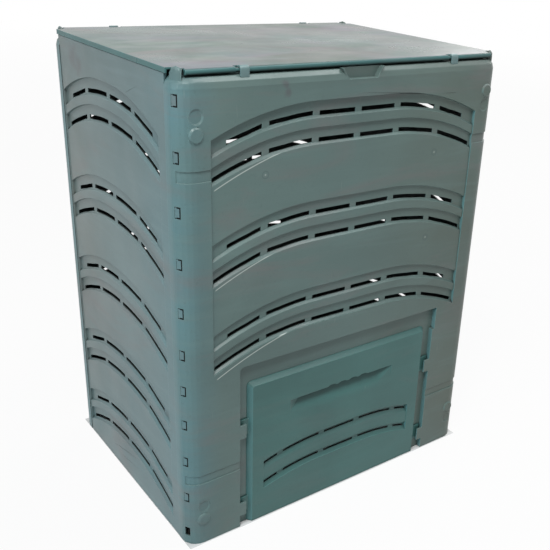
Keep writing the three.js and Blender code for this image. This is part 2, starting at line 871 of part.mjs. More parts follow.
// The lid in the bin's frame: a crowned sheet with skirts, ribs and two round rods.
function lidPanel() {
  const halfX = binWidth / 2;
  const halfY = binDepth / 2 - rodInset;
  const under = binHeight - lidThickness;
  const ribLow = under - lidRibDepth;
  const sheet = crowned(halfX, halfY, [under, binHeight], [lidCrown, lidCrown]);
  const envelope = crowned(halfX, halfY, [ribLow, binHeight], [0, lidCrown]);
  const ribX = halfX - cornerRadius - lidRibMargin / 2;
  const ribY = halfY - lidRibMargin;
  const half = lidRibThickness / 2;
  const ribs = [];
  for (const share of lidRibShares) {
    const y = share * ribY;
    const x = share * ribX;
    ribs.push(block(-ribX, ribX, y - half, y + half, ribLow, binHeight + lidCrown));
    ribs.push(block(x - half, x + half, -ribY, ribY, ribLow, binHeight + lidCrown));
  }
  const lipOuter = halfX - sideSetback - wall - lidLipGap;
  const skirtHalf = binDepth / 2 - cornerRadius + wall;
  const edges = [];
  for (const side of [-1, 1]) {
    const lip = [side * lipOuter, side * (lipOuter - lidRibThickness)];
    edges.push(block(Math.min(...lip), Math.max(...lip), -ribY, ribY, under - lidLipDepth, binHeight));
    const skirt = [side * halfX, side * (halfX - wall)];
    const low = binHeight - skirtHeight;
    edges.push(block(Math.min(...skirt), Math.max(...skirt), -skirtHalf, skirtHalf, low, binHeight));
  }
  const tall = crowned(halfX, halfY, [under - lidLipDepth, binHeight], [0, lidCrown]);
  const body = joined([sheet, joined(ribs).intersect(envelope), joined(edges).intersect(tall)]);
  const slitDeep = hookReach + slitGap;
  const earReach = (cornerRadius - earInset - earThickness) * Math.cos(earEnd);
  const rodLength = binWidth + 2 * (earReach - cornerRadius - rodEndGap);
  const rods = [];
  const pins = [];
  const slits = [];
  for (const end of [-1, 1]) {
    const axis = end * halfY;
    const reachIn = axis - end * slitDeep;
    const reachOut = axis + end * overrun;
    const bar = (radius, length, x) => {
      const geometry = new THREE.CylinderGeometry(radius, radius, length, rodSides);
      geometry.rotateY(Math.PI / rodSides);
      return solid(geometry.rotateZ(Math.PI / 2).translate(x, axis, rodHeight));
    };
    rods.push(bar(rodRadius, rodLength, 0));
    for (const side of [-1, 1]) {
      const near = side * hookPlace - end * (hookWidth / 2 + slitNearGap);
      const far = side * hookPlace + end * (hookWidth / 2 + slitFarGap);
      slits.push(
        block(
          Math.min(near, far),
          Math.max(near, far),
          Math.min(reachIn, reachOut),
          Math.max(reachIn, reachOut),
          rodHeight - rodRadius - overrun,
          binHeight + overrun,
        ),
      );
      pins.push(bar(pinRadius, Math.abs(far - near) + 2 * wall, (near + far) / 2));
    }
  }
  const notches = [-1, 1].flatMap((side) => {
    const notch = earNotch(side).translate([0, -binDepth / 2, 0]);
    return [notch, notch.rotate([0, 0, 180])];
  });
  return joined([without(joined([without(body, notches), ...rods]), slits), ...pins]);
}

// A group that carries what stands on one face of the bin.
function faceGroup(angle, distance) {
  const group = new THREE.Group();
  group.rotation.z = angle;
  group.position.set(distance * Math.sin(angle), -distance * Math.cos(angle), 0);
  return group;
}

const bin = new THREE.Group();
const front = faceGroup(0, binDepth / 2);
const back = faceGroup(Math.PI, binDepth / 2);
const left = faceGroup(-Math.PI / 2, binWidth / 2);
const right = faceGroup(Math.PI / 2, binWidth / 2);

front.add(piece('front_panel', wrapPanel(true, frontVents.steps), panelColour, 0.55));
front.add(piece('lid_latch_left', hook(-hookPlace), hookColour, 0.5));
front.add(piece('lid_latch_right', hook(hookPlace), hookColour, 0.5));
front.add(piece('door_panel', doorPanel(), hatchColour, 0.5));
back.add(piece('back_panel', wrapPanel(false, frontVents.steps - 1), panelColour, 0.55));
back.add(piece('hinge_hook_right', hook(-hookPlace), hookColour, 0.5));
back.add(piece('hinge_hook_left', hook(hookPlace), hookColour, 0.5));
left.add(piece('left_panel', sidePanel(), sideColour, 0.55));
right.add(piece('right_panel', sidePanel(), sideColour, 0.55));
bin.add(front, back, left, right);
bin.add(piece('lid_panel', lidPanel(), lidColour, 0.4));

export default bin;
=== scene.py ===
"""Looks for the garden compost bin: moulded grey-green plastic, a plain pale floor and soft studio light."""

import math
from typing import NamedTuple

import bmesh
import bpy
from mathutils import Matrix, Vector


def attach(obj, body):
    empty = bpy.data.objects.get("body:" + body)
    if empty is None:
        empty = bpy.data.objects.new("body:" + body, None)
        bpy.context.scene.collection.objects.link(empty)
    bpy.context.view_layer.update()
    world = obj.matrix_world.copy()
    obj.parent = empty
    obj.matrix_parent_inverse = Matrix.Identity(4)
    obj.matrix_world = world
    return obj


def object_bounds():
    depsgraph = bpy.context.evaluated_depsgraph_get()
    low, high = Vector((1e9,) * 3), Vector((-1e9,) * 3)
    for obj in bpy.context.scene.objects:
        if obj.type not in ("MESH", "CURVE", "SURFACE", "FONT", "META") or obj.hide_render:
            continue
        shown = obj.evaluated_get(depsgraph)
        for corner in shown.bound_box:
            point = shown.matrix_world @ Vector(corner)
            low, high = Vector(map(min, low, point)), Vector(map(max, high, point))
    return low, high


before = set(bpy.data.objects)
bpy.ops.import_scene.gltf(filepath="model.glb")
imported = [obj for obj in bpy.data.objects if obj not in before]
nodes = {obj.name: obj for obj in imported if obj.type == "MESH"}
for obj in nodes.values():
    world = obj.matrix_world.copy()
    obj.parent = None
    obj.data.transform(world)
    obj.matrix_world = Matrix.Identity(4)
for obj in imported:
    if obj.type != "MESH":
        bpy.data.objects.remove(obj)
cad_low, cad_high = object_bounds()

# The photograph's frame in pixels, and where its camera stands, in metres and radians
IMAGE_SIDE = 550
FOCAL_PX = 797.58
CENTRE_PX = (356.8, 284.07)
CAMERA_AT = Vector((-0.8983, -1.3654, 1.1017))
CAMERA_YAW = 0.6948
CAMERA_PITCH = 0.4138
CAMERA_ROLL = 0.0655
SENSOR_MM = 36.0

# Plastic colours, linear
PANEL = (0.102, 0.160, 0.152)
SIDE = (0.118, 0.170, 0.175)
LID = (0.052, 0.128, 0.128)
HATCH = (0.046, 0.130, 0.122)
HOOK = (0.115, 0.185, 0.188)

# Tints that a colour drifts to, and those of the lid's haze and streaks and of the louvres' walls. Some are
# painted
# light: the blue tint is painted bluish light on corners and low on the sides, the rim's and the shaded
# tints are painted shade, the lid's haze, streaks, green and peach are painted reflections, and the walls'
# tint is painted bluish light
BROWNED = (0.084, 0.092, 0.066)
DUSTED = (0.160, 0.152, 0.125)
PAINTED_BLUE_LIGHT = (0.086, 0.188, 0.213)
SHADED = (0.080, 0.126, 0.132)
PAINTED_RIM_SHADE = (0.068, 0.092, 0.082)
GREEN_REFLECTION = (0.028, 0.082, 0.044)
PEACH_REFLECTION = (0.175, 0.140, 0.095)
SKY_REFLECTION = (0.080, 0.114, 0.106)
LILAC_REFLECTION = (0.150, 0.142, 0.185)
PINK_REFLECTION = (0.175, 0.085, 0.098)
PAINTED_WALL_LIGHT = (0.100, 0.235, 0.255)

# Wear and grime, and painted light: chalk also serves painted highlights and reflections, the grime colour
# also stands for painted shade in hollows, and the inside and gap colours are painted shade
CHALK_AND_SHEEN = (0.330, 0.370, 0.350)
SMEAR = (0.146, 0.138, 0.138)
SMUDGE = (0.080, 0.074, 0.082)
DIRT_AND_SHADE = (0.014, 0.015, 0.013)
INSIDE_SHADE = (0.022, 0.026, 0.024)
GAP_SHADOW = (0.005, 0.006, 0.006)

# How light or dark a detail is, as a share of the plastic's colour, or of chalk or of the gaps' painted
# shadow; the ledges' share is painted shade, the curved lines' a painted highlight, and the pale edges' part
# wear, part painted highlight
CLOUD_SHADES = (0.86, 1.10)
PAINTED_LEDGE_SHADE = 0.62
FLOW_SHADE = 1.3
SPECKLE_SHADE = 0.66
BOW_HIGHLIGHT = 1.25
RING_SHADE = 0.6
RUBBED_AND_SHEEN = 2.0
GAP_SHADOW_PATCHES = 1.7

# Sizes that repeat the part's own, in metres and degrees
BIN_WIDTH = 0.710
BIN_DEPTH = 0.530
BIN_HEIGHT = 0.900
BAND_TOP = 0.842
RIM_TOP = 0.8894
CORNER_RADIUS = 0.032
CORNER_X = BIN_WIDTH / 2 - CORNER_RADIUS
CORNER_Y = BIN_DEPTH / 2 - CORNER_RADIUS
EAR_RADIUS = 0.023
EAR_HALF = 0.004
BOSS_RADIUS = 0.0132
BOSS_SIDES = 8
BOSS_PITCH = 0.029
BOSS_HEIGHTS = (0.8145, 0.0711)
BOSS_FLOOR = 0.0030
WINDOW_TURN = 29.475
WINDOW_SIZE = (0.0115, 0.0200)
WINDOW_SHARES = (0.948, 0.849, 0.749, 0.649, 0.549, 0.459, 0.379, 0.3, 0.211, 0.121)

# Shaping: how finely arches are split, how far an ear's round top falls at its edge and over which
# heights that sets in, how far past a boss's corners its outline is sought, and the windows' gaps
ARCH_SPLITS = 2
EAR_ROUND = 0.0042
EAR_FADE = (RIM_TOP + EAR_HALF, RIM_TOP + 2.2 * EAR_HALF)
BOSS_SLACK = 1.002
GAP_WIDTH = 0.0023
GAP_DEPTHS = (0.0308, 0.03154)

# Shading: soft edges are below these angles, and points this near are joined
SMOOTH_PANEL = math.radians(34)
SMOOTH_LID = math.radians(47)
JOIN_WITHIN = 0.000004
NORMAL_WEIGHT = 100

# Edges, hollows darkened as grime and as painted shade, and the waves and grain of the moulded surface, in
# metres
EDGE_RADIUS = 0.0011
RUB_RADIUS = EDGE_RADIUS * 1.6
EDGE_SAMPLES = 6
HOLLOW_REACH = 0.006
HOLLOW_SAMPLES = 8
WAVE_HEIGHT = 0.004
GRAIN_HEIGHT = 0.0006

# How far roughness strays from a plastic's own and what scuffs add, how dark the painted shade on sunk faces
# is, how much the painted shadow strips in the gaps shine, and how steeply a face of the lid looks up to get
# its painted sky reflection
ROUGH_SPREAD = (-0.05, 0.06)
SCUFF_ROUGH = 0.3
SUNK_SHADE = 0.9
GAP_SHADOW_SHINE = 0.1
UPWARD = (0.8, 0.98)

# The front's painted bluish light on the louvre walls and painted shade on its ledges reach up to these
# heights
WALL_TOP = 0.86
LEDGE_TOP = 0.845

# Painted highlight lines below the front's bands: how they bow and how wide they are, where they fade
# towards the middle, where they end at the corner, and the depth of the face that they lie on
BOW_CURVE = 0.85
BOW_WIDTH = 0.0013
BOW_FADE = (-0.05, -0.14)
BOW_END = (-0.2930, -0.2900)
BOW_FACE = (-0.2624, -0.2627)
FRONT_HIGHLIGHT_BOWS = (0.7790, 0.6014, 0.4273)

# Gate marks and smudges, each a place and a size
FRONT_MARKS = (
    ((-0.1944, -0.2628, 0.7208), 0.0062),
    ((0.1961, -0.2628, 0.7166), 0.0062),
    ((0.1949, -0.2628, 0.5381), 0.0062),
)
FRONT_SMUDGES = (
    ((-0.1590, -0.2650, 0.8700), 0.0085),
    ((-0.1530, -0.2650, 0.8560), 0.0100),
    ((0.0400, -0.2650, 0.3350), 0.0110),
    ((-0.0500, -0.2650, 0.3450), 0.0120),
)
SIDE_SMUDGES = (
    ((-0.355, 0.1575, 0.8587), 0.0300),
    ((-0.355, 0.1301, 0.8465), 0.0220),
)

# The turns of the scuffs in radians, and that of the lid's painted reflection streaks, with each streak's
# tint and most share
SCUFF_TURNS = (0.5, 1.9, 2.7)
REFLECTION_TURN = 0.6948
REFLECTION_STREAKS = ((LILAC_REFLECTION, 0.5), (PINK_REFLECTION, 0.25), (GREEN_REFLECTION, 0.45), (CHALK_AND_SHEEN, 0.16))

# The floor: its reach and drop in metres, its grey, and how white it is seen, from near to far
FLOOR_REACH = 30.0
FLOOR_DROP = 0.0004
FLOOR_GREY = (0.62, 0.62, 0.62, 1.0)
FLOOR_FADE = (1.2, 8.0)
FLOOR_SHARES = (0.93, 1.0)
WHITE = (1.0, 1.0, 1.0, 1.0)

# The light from all round, then each lamp's name, place, aim, size in metres, power in watts and colour
SKY_COLOUR = (0.96, 0.985, 1.0, 1.0)
SKY_STRENGTH = 0.22
LAMPS = (
    ("lamp_key", (-1.3, -1.4, 3.3), (0.0, 0.0, 0.6), (1.0, 1.0), 86.0, (1.0, 1.0, 0.99)),
    ("lamp_top", (1.2, -0.7, 3.2), (0.0, 0.0, 0.8), (1.0, 1.0), 38.0, (0.96, 0.99, 1.0)),
    ("lamp_left", (-3.2, -0.8, 1.5), (-0.3, 0.0, 0.5), (1.2, 1.8), 38.0, (0.80, 0.96, 1.0)),
    ("lamp_right", (2.9, 1.3, 2.4), (0.2, 0.1, 0.6), (1.8, 1.6), 40.0, (1.0, 0.99, 0.97)),
)


class Arch(NamedTuple):
    """The arch of a panel's vent bands: level in the middle, then round, which the solids give in facets."""

    axis: str
    level: float
    reach: float
    radius: float
    middle: float = 0.0
    facets: int = 3
    low: float = 0.0
    high: float = BAND_TOP


class Sunk(NamedTuple):
    """The part of a wall whose faces get painted shade: those nearer to the bin's middle than the limit."""

    limit: float
    across: str
    reach: float
    low: float
    high: float = BAND_TOP


class Nodes:
    """Short forms for building a node tree."""

    def __init__(self, tree):
        self.tree = tree

    def add(self, kind, **values):
        node = self.tree.nodes.new(kind)
        for key, value in values.items():
            setattr(node, key, value)
        return node

    def link(self, output, socket):
        self.tree.links.new(output, socket)

    def feed(self, socket, value):
        if isinstance(value, bpy.types.NodeSocket):
            self.link(value, socket)
        else:
            socket.default_value = value

    def axes(self, vector):
        node = self.add("ShaderNodeSeparateXYZ")
        self.link(vector, node.inputs["Vector"])
        return node.outputs

    def distance(self, at, place):
        node = self.add("ShaderNodeVectorMath", operation="DISTANCE")
        self.link(at, node.inputs[0])
        node.inputs[1].default_value = place
        return node.outputs["Value"]

    def noise(self, at, scale, detail, rough, distort=0.0):
        node = self.add("ShaderNodeTexNoise")
        self.link(at, node.inputs["Vector"])
        node.inputs["Scale"].default_value = scale
        node.inputs["Detail"].default_value = detail
        node.inputs["Roughness"].default_value = rough
        node.inputs["Distortion"].default_value = distort
        return node.outputs["Fac"]

    def stretch(self, at, scale, shift=(0.0, 0.0, 0.0), turn=(0.0, 0.0, 0.0)):
        node = self.add("ShaderNodeMapping")
        self.link(at, node.inputs["Vector"])
        node.inputs["Scale"].default_value = scale
        node.inputs["Location"].default_value = shift
        node.inputs["Rotation"].default_value = turn
        return node.outputs["Vector"]

    def ramp(self, value, low, high, start=0.0, end=1.0):
        node = self.add("ShaderNodeMapRange", clamp=True)
        self.link(value, node.inputs["Value"])
        node.inputs["From Min"].default_value = low
        node.inputs["From Max"].default_value = high
        node.inputs["To Min"].default_value = start
        node.inputs["To Max"].default_value = end
        return node.outputs["Result"]

    def math(self, operation, a, b=0.0):
        node = self.add("ShaderNodeMath", operation=operation)
        self.feed(node.inputs[0], a)
        self.feed(node.inputs[1], b)
        return node.outputs["Value"]

    def size(self, value):
        """A value without its sign."""
        return self.math("ABSOLUTE", value)

    def product(self, first, *others):
        for other in others:
            first = self.math("MULTIPLY", first, other)
        return first

    def mix(self, share, a, b):
        node = self.add("ShaderNodeMix", data_type="RGBA")
        self.feed(node.inputs["Factor"], share)
        for socket, value in ((node.inputs["A"], a), (node.inputs["B"], b)):
            if isinstance(value, tuple):
                value = (*value, 1.0)
            self.feed(socket, value)
        return node.outputs["Result"]

    def bevel(self, radius):
        node = self.add("ShaderNodeBevel", samples=EDGE_SAMPLES)
        node.inputs["Radius"].default_value = radius
        return node.outputs["Normal"]

    def bump(self, height, normal, strength, distance):
        node = self.add("ShaderNodeBump")
        node.inputs["Strength"].default_value = strength
        node.inputs["Distance"].default_value = distance
        self.link(height, node.inputs["Height"])
        self.link(normal, node.inputs["Normal"])
        return node.outputs["Normal"]

    def rays(self, first, *others):
        """One for a ray of any of the kinds, and nought for others."""
        path = self.add("ShaderNodeLightPath").outputs
        share = path[f"Is {first} Ray"]
        for kind in others:
            share = self.math("MAXIMUM", share, path[f"Is {kind} Ray"])
        return share

    def blend(self, share, first, second):
        node = self.add("ShaderNodeMixShader")
        self.link(share, node.inputs["Fac"])
        self.link(first, node.inputs[1])
        self.link(second, node.inputs[2])
        return node.outputs["Shader"]


def blank_nodes(owner):
    """The emptied node tree of a material or a world."""
    owner.use_nodes = True
    owner.node_tree.nodes.clear()
    return Nodes(owner.node_tree)


def scaled(colour, share):
    """A colour times a share, at most white."""
    return tuple(min(1.0, c * share) for c in colour)


def drifted(n, at, axes, up, tone, drift):
    """A colour that drifts unevenly to tints along an axis, on the lid only where it faces up."""
    for axis, first, last, tint, most in drift:
        share = n.ramp(axes[axis], first, last, end=most)
        if up is not None:
            share = n.product(share, up)
        uneven = n.noise(at, scale=4.3 + abs(first), detail=3.0, rough=0.6, distort=0.8)
        uneven = n.ramp(uneven, 0.25, 0.7, start=0.35)
        tone = n.mix(n.product(share, uneven), tone, tint)
    return tone


def painted_sky_reflection(n, at, up, tone):
    """Painted sky reflection on the lid's upward faces: a pale haze with soft streaks."""
    tone = n.mix(up, tone, SKY_REFLECTION)
    for index, (tint, most) in enumerate(REFLECTION_STREAKS):
        shift = (index * 2.3, index * 1.1, 0.0)
        streaks = n.stretch(at, (2.2, 5.5, 1.0), shift, (0.0, 0.0, REFLECTION_TURN))
        veil = n.noise(streaks, scale=1.4 + 0.3 * index, detail=5.0, rough=0.6, distort=0.8)
        veil = n.ramp(veil, 0.51, 0.64, end=most)
        tone = n.mix(n.product(veil, up), tone, tint)
    return tone


def painted_louvre_light(n, axes, facing, tone, colour):
    """Painted bluish light on the walls between the louvres and painted shade on the ledges above them."""
    walls = n.ramp(n.size(facing["X"]), 0.6, 0.95, end=0.7)
    inboard = n.math("LESS_THAN", n.size(axes["X"]), CORNER_X)
    inboard = n.product(inboard, n.math("LESS_THAN", axes["Z"], WALL_TOP))
    tone = n.mix(n.product(walls, inboard), tone, PAINTED_WALL_LIGHT)
    ledges = n.ramp(facing["Z"], 0.15, 0.6, end=0.6)
    ledges = n.product(ledges, n.math("LESS_THAN", axes["Z"], LEDGE_TOP))
    return n.mix(ledges, tone, scaled(colour, PAINTED_LEDGE_SHADE))


def streaked(n, at, tone, colour, smears, spots):
    """Level flow lines, pale smears and a fine speckle."""
    flow = n.noise(n.stretch(at, (2.6, 2.6, 26.0)), scale=1.0, detail=4.0, rough=0.6, distort=1.5)
    tone = n.mix(n.ramp(flow, 0.48, 0.7, end=0.26), tone, scaled(colour, FLOW_SHADE))
    smear = n.stretch(at, (1.6, 1.6, 7.0), (3.0, 1.0, 2.0))
    smear = n.noise(smear, scale=1.6, detail=5.0, rough=0.62, distort=0.9)
    tone = n.mix(n.ramp(smear, 0.5, 0.68, end=smears), tone, SMEAR)
    speckle = n.ramp(n.noise(at, scale=150.0, detail=3.0, rough=0.6), 0.58, 0.72, end=spots)
    return n.mix(speckle, tone, scaled(colour, SPECKLE_SHADE))


def scuff_lines(n, at):
    """Where short scuffs and fine scratches lie, in several directions."""
    scuffs = None
    for index, turn in enumerate(SCUFF_TURNS):
        shift = (index * 3.1, 1.7, 0.4)
        lines = n.stretch(at, (300.0, 300.0, 16.0), shift, (turn, turn * 0.7, turn * 1.3))
        line = n.ramp(n.noise(lines, scale=1.0, detail=2.0, rough=0.5), 0.74, 0.8)
        near = n.ramp(n.noise(at, scale=7.0 + 2.0 * index, detail=2.0, rough=0.5), 0.54, 0.7)
        line = n.product(line, near)
        scuffs = line if scuffs is None else n.math("MAXIMUM", scuffs, line)
    return scuffs


def painted_highlight_bows(n, axes, tone, heights):
    """Painted highlight lines that bow below the left half of the vent bands."""
    for height in heights:
        bow = n.product(axes["X"], axes["X"], BOW_CURVE)
        off = n.size(n.math("SUBTRACT", n.math("ADD", axes["Z"], bow), height))
        line = n.product(
            n.ramp(off, BOW_WIDTH, 0.4 * BOW_WIDTH),
            n.ramp(axes["X"], *BOW_FADE),
            n.ramp(axes["Y"], *BOW_FACE),
            n.ramp(axes["X"], *BOW_END),
        )
        tone = n.mix(line, tone, scaled(CHALK_AND_SHEEN, BOW_HIGHLIGHT))
    return tone


def smudged(n, at, tone, smudges):
    """Soft smudges with broken edges."""
    for place, size in smudges:
        torn = n.noise(at, scale=60.0, detail=4.0, rough=0.6)
        torn = n.ramp(torn, 0.2, 0.8, -0.5 * size, 0.5 * size)
        torn = n.math("ADD", n.distance(at, place), torn)
        tone = n.mix(n.ramp(torn, size, size * 0.2, end=0.55), tone, SMUDGE)
    return tone


def gate_marked(n, at, tone, colour, marks):
    """Round marks of the mould's gates: a pale spot in a faint ring."""
    for place, size in marks:
        away = n.distance(at, place)
        tone = n.mix(n.ramp(away, size * 0.35, size * 0.15, end=0.8), tone, CHALK_AND_SHEEN)
        ring = n.size(n.math("SUBTRACT", away, size))
        tone = n.mix(n.ramp(ring, size * 0.3, 0.0, end=0.6), tone, scaled(colour, RING_SHADE))
    return tone


def rubbed_sheen_and_hollow_shade(n, at, tone, colour):
    """Edges pale, part worn and part painted highlight, and narrow gaps darker, part grime and part painted
    shade.
    """
    turned = n.add("ShaderNodeVectorMath", operation="DOT_PRODUCT")
    n.link(n.bevel(RUB_RADIUS), turned.inputs[0])
    n.link(n.add("ShaderNodeNewGeometry").outputs["Normal"], turned.inputs[1])
    edge = n.ramp(turned.outputs["Value"], 0.992, 0.86, end=0.5)
    patchy = n.ramp(n.noise(at, scale=42.0, detail=4.0, rough=0.6), 0.36, 0.6, start=0.4)
    tone = n.mix(n.product(edge, patchy), tone, scaled(colour, RUBBED_AND_SHEEN))
    hollow = n.add("ShaderNodeAmbientOcclusion", samples=HOLLOW_SAMPLES)
    hollow.inputs["Distance"].default_value = HOLLOW_REACH
    return n.mix(n.ramp(hollow.outputs["AO"], 0.62, 0.25, end=0.92), tone, DIRT_AND_SHADE)


def painted_inner_shade(n, at, axes, facing, inner, sunk):
    """How much painted shade a face gets because it looks into the bin, or because it is sunk in a band."""
    if inner == "Z":
        inwards = n.product(facing["Z"], -1.0)
    else:
        inwards = n.product(facing[inner], n.math("SIGN", axes[inner]), -1.0)
    patchy = n.ramp(n.noise(at, scale=18.0, detail=4.0, rough=0.6), 0.3, 0.6, 0.7, 0.92)
    inner_shade = n.product(n.ramp(inwards, 0.3, 0.7), patchy)
    if sunk:
        tests = (
            ("LESS_THAN", inner, sunk.limit),
            ("LESS_THAN", sunk.across, sunk.reach),
            ("LESS_THAN", "Z", sunk.high),
            ("GREATER_THAN", "Z", sunk.low),
        )
        met = [n.math(test, n.size(axes[axis]), bound) for test, axis, bound in tests]
        inner_shade = n.math("MAXIMUM", inner_shade, n.product(*met, SUNK_SHADE))
    return inner_shade


def plastic(
    name, colour, rough, inner, sunk=None, drift=(), marks=(), smudges=(), highlight_bows=(),
    ripple=0.25, grain=0.10, smears=0.5, spots=0.22, scratched=0.5, shine=0.4,
):
    """Moulded plastic. The inner axis runs through the wall: Y front and back, X sides, Z lid."""
    material = bpy.data.materials.new(name)
    n = blank_nodes(material)
    out = n.add("ShaderNodeOutputMaterial")
    shader = n.add("ShaderNodeBsdfPrincipled")
    n.link(shader.outputs["BSDF"], out.inputs["Surface"])
    here = n.add("ShaderNodeTexCoord")
    at = here.outputs["Object"]
    axes, facing = n.axes(at), n.axes(here.outputs["Normal"])
    up = n.ramp(facing["Z"], *UPWARD) if inner == "Z" else None

    # Soft clouds first, then each layer over the ones before
    clouds = n.ramp(n.noise(at, scale=3.1, detail=3.0, rough=0.55, distort=0.6), 0.34, 0.66)
    tone = n.mix(clouds, *(scaled(colour, shade) for shade in CLOUD_SHADES))
    # Some drifts are painted light: bluish light and shade, and on the lid painted reflections
    tone = drifted(n, at, axes, up, tone, drift)
    if inner == "Z":
        # Painted sky reflection on the lid
        tone = painted_sky_reflection(n, at, up, tone)
    if inner == "Y":
        # Painted bluish light on the louvre walls, painted shade on the ledges
        tone = painted_louvre_light(n, axes, facing, tone, colour)
    tone = streaked(n, at, tone, colour, smears, spots)
    scuffs = scuff_lines(n, at)
    tone = n.mix(n.product(scuffs, scratched), tone, CHALK_AND_SHEEN)
    # Painted highlight lines below the bands
    tone = painted_highlight_bows(n, axes, tone, highlight_bows)
    tone = smudged(n, at, tone, smudges)
    tone = gate_marked(n, at, tone, colour, marks)
    # Pale edges part wear, part painted highlight; hollows darkened, part grime, part painted shade
    tone = rubbed_sheen_and_hollow_shade(n, at, tone, colour)
    # Painted shade on faces that look into the bin and on sunk faces
    tone = n.mix(painted_inner_shade(n, at, axes, facing, inner, sunk), tone, INSIDE_SHADE)
    n.link(tone, shader.inputs["Base Color"])

    gloss = n.noise(at, scale=8.0, detail=5.0, rough=0.6, distort=0.4)
    gloss = n.ramp(gloss, 0.3, 0.7, *(rough + spread for spread in ROUGH_SPREAD))
    gloss = n.math("ADD", gloss, n.product(scuffs, SCUFF_ROUGH * scratched))
    n.link(gloss, shader.inputs["Roughness"])
    shader.inputs["Specular IOR Level"].default_value = shine

    # Rounded edges, moulding waviness and grain
    wave = n.noise(at, scale=7.5, detail=2.0, rough=0.4)
    normal = n.bump(wave, n.bevel(EDGE_RADIUS), ripple, WAVE_HEIGHT)
    fine = n.noise(at, scale=900.0, detail=3.0, rough=0.6)
    normal = n.bump(fine, normal, grain, GRAIN_HEIGHT)
    n.link(normal, shader.inputs["Normal"])
    return material


def gap_shadow_material():
    """Matt dark painted shadow for the snap gaps, lighter in uneven patches."""
    material = bpy.data.materials.new("gap_shadow_material")
    n = blank_nodes(material)
    out = n.add("ShaderNodeOutputMaterial")
    shader = n.add("ShaderNodeBsdfPrincipled")
    n.link(shader.outputs["BSDF"], out.inputs["Surface"])
    at = n.add("ShaderNodeTexCoord").outputs["Object"]
    dry = n.ramp(n.noise(at, scale=60.0, detail=4.0, rough=0.6), 0.4, 0.7)
    n.link(n.mix(dry, GAP_SHADOW, scaled(GAP_SHADOW, GAP_SHADOW_PATCHES)), shader.inputs["Base Color"])
    dull = n.ramp(n.noise(at, scale=90.0, detail=3.0, rough=0.5), 0.3, 0.7, 0.7, 0.95)
    n.link(dull, shader.inputs["Roughness"])
    shader.inputs["Specular IOR Level"].default_value = GAP_SHADOW_SHINE
    return material


def drop_of(n, past, radius):
    """How far an arch has come down at a distance past its level middle."""
    square = n.math("SUBTRACT", radius * radius, n.product(past, past))
    return n.math("SUBTRACT", radius, n.math("SQRT", square))


def arch_lift(n, axes, arch):
    """How far a point of an arch's straight facet rises to lie on the true arc."""
    along = n.size(n.math("SUBTRACT", axes[arch.axis], arch.middle))
    past = n.math("MINIMUM", n.math("MAXIMUM", along, arch.level), arch.reach)
    past = n.math("SUBTRACT", past, arch.level)
    run = (arch.reach - arch.level) / arch.facets
    place = n.math("DIVIDE", past, run)
    first = n.math("MINIMUM", n.math("FLOOR", place), arch.facets - 1.0)
    near = drop_of(n, n.product(first, run), arch.radius)
    far = drop_of(n, n.product(n.math("ADD", first, 1.0), run), arch.radius)
    chord = n.product(n.math("SUBTRACT", far, near), n.math("SUBTRACT", place, first))
    lift = n.math("SUBTRACT", n.math("ADD", near, chord), drop_of(n, past, arch.radius))
    above = n.math("GREATER_THAN", axes["Z"], arch.low)
    below = n.math("LESS_THAN", axes["Z"], arch.high)
    return n.product(lift, n.product(above, below))


def ear_fall(n, axes):
    """How far a point of a corner's flat ear comes down to round its top."""
    square = 0.0
    for axis, corner in (("X", CORNER_X), ("Y", CORNER_Y)):
        side = n.math("SUBTRACT", n.size(axes[axis]), corner)
        square = n.math("ADD", n.product(side, side), square)
    off = n.math("SUBTRACT", n.math("SQRT", square), EAR_RADIUS)
    off = n.math("DIVIDE", off, EAR_HALF)
    return n.product(off, off, EAR_ROUND, n.ramp(axes["Z"], *EAR_FADE))


def round_bosses(n, axes):
    """How far a point of an eight-sided boss or dimple moves, across and up, to make it round."""
    across = n.math("SUBTRACT", n.size(axes["X"]), CORNER_X)
    upper = n.math("GREATER_THAN", axes["Z"], BIN_HEIGHT / 2)
    middle = n.product(upper, BOSS_HEIGHTS[0] - BOSS_HEIGHTS[1])
    above = n.math("SUBTRACT", n.math("SUBTRACT", axes["Z"], middle), BOSS_HEIGHTS[1])
    up = n.math("SUBTRACT", n.size(above), BOSS_PITCH / 2)
    away = n.math("ADD", n.product(across, across), n.product(up, up))
    near = n.math("LESS_THAN", n.math("SQRT", away), BOSS_RADIUS * BOSS_SLACK)
    outer = n.math("GREATER_THAN", n.size(axes["Y"]), BIN_DEPTH / 2 - BOSS_FLOOR)
    part = math.tau / BOSS_SIDES
    turn = n.math("FLOORED_MODULO", n.math("ARCTAN2", up, across), part)
    grow = n.math("COSINE", n.math("SUBTRACT", turn, part / 2))
    grow = n.math("DIVIDE", grow, math.cos(part / 2))
    grow = n.product(n.math("SUBTRACT", grow, 1.0), n.product(near, outer))
    return [
        n.product(size, grow, n.math("SIGN", axis))
        for size, axis in ((across, axes["X"]), (up, above))
    ]


def bent(n, shape, arch, eared):
    """The shape in finer faces, with its arches round, and its ears and bosses too if it has them."""
    split = n.add("GeometryNodeSubdivideMesh")
    split.inputs["Level"].default_value = ARCH_SPLITS
    n.link(shape, split.inputs["Mesh"])
    axes = n.axes(n.add("GeometryNodeInputPosition").outputs["Position"])
    offset = n.add("ShaderNodeCombineXYZ")
    lift = arch_lift(n, axes, arch)
    if eared:
        lift = n.math("SUBTRACT", lift, ear_fall(n, axes))
        sideways, upwards = round_bosses(n, axes)
        n.link(sideways, offset.inputs["X"])
        lift = n.math("ADD", lift, upwards)
    n.link(lift, offset.inputs["Z"])
    bend = n.add("GeometryNodeSetPosition")
    n.link(split.outputs["Mesh"], bend.inputs["Geometry"])
    n.link(offset.outputs["Vector"], bend.inputs["Offset"])
    return bend.outputs["Geometry"]


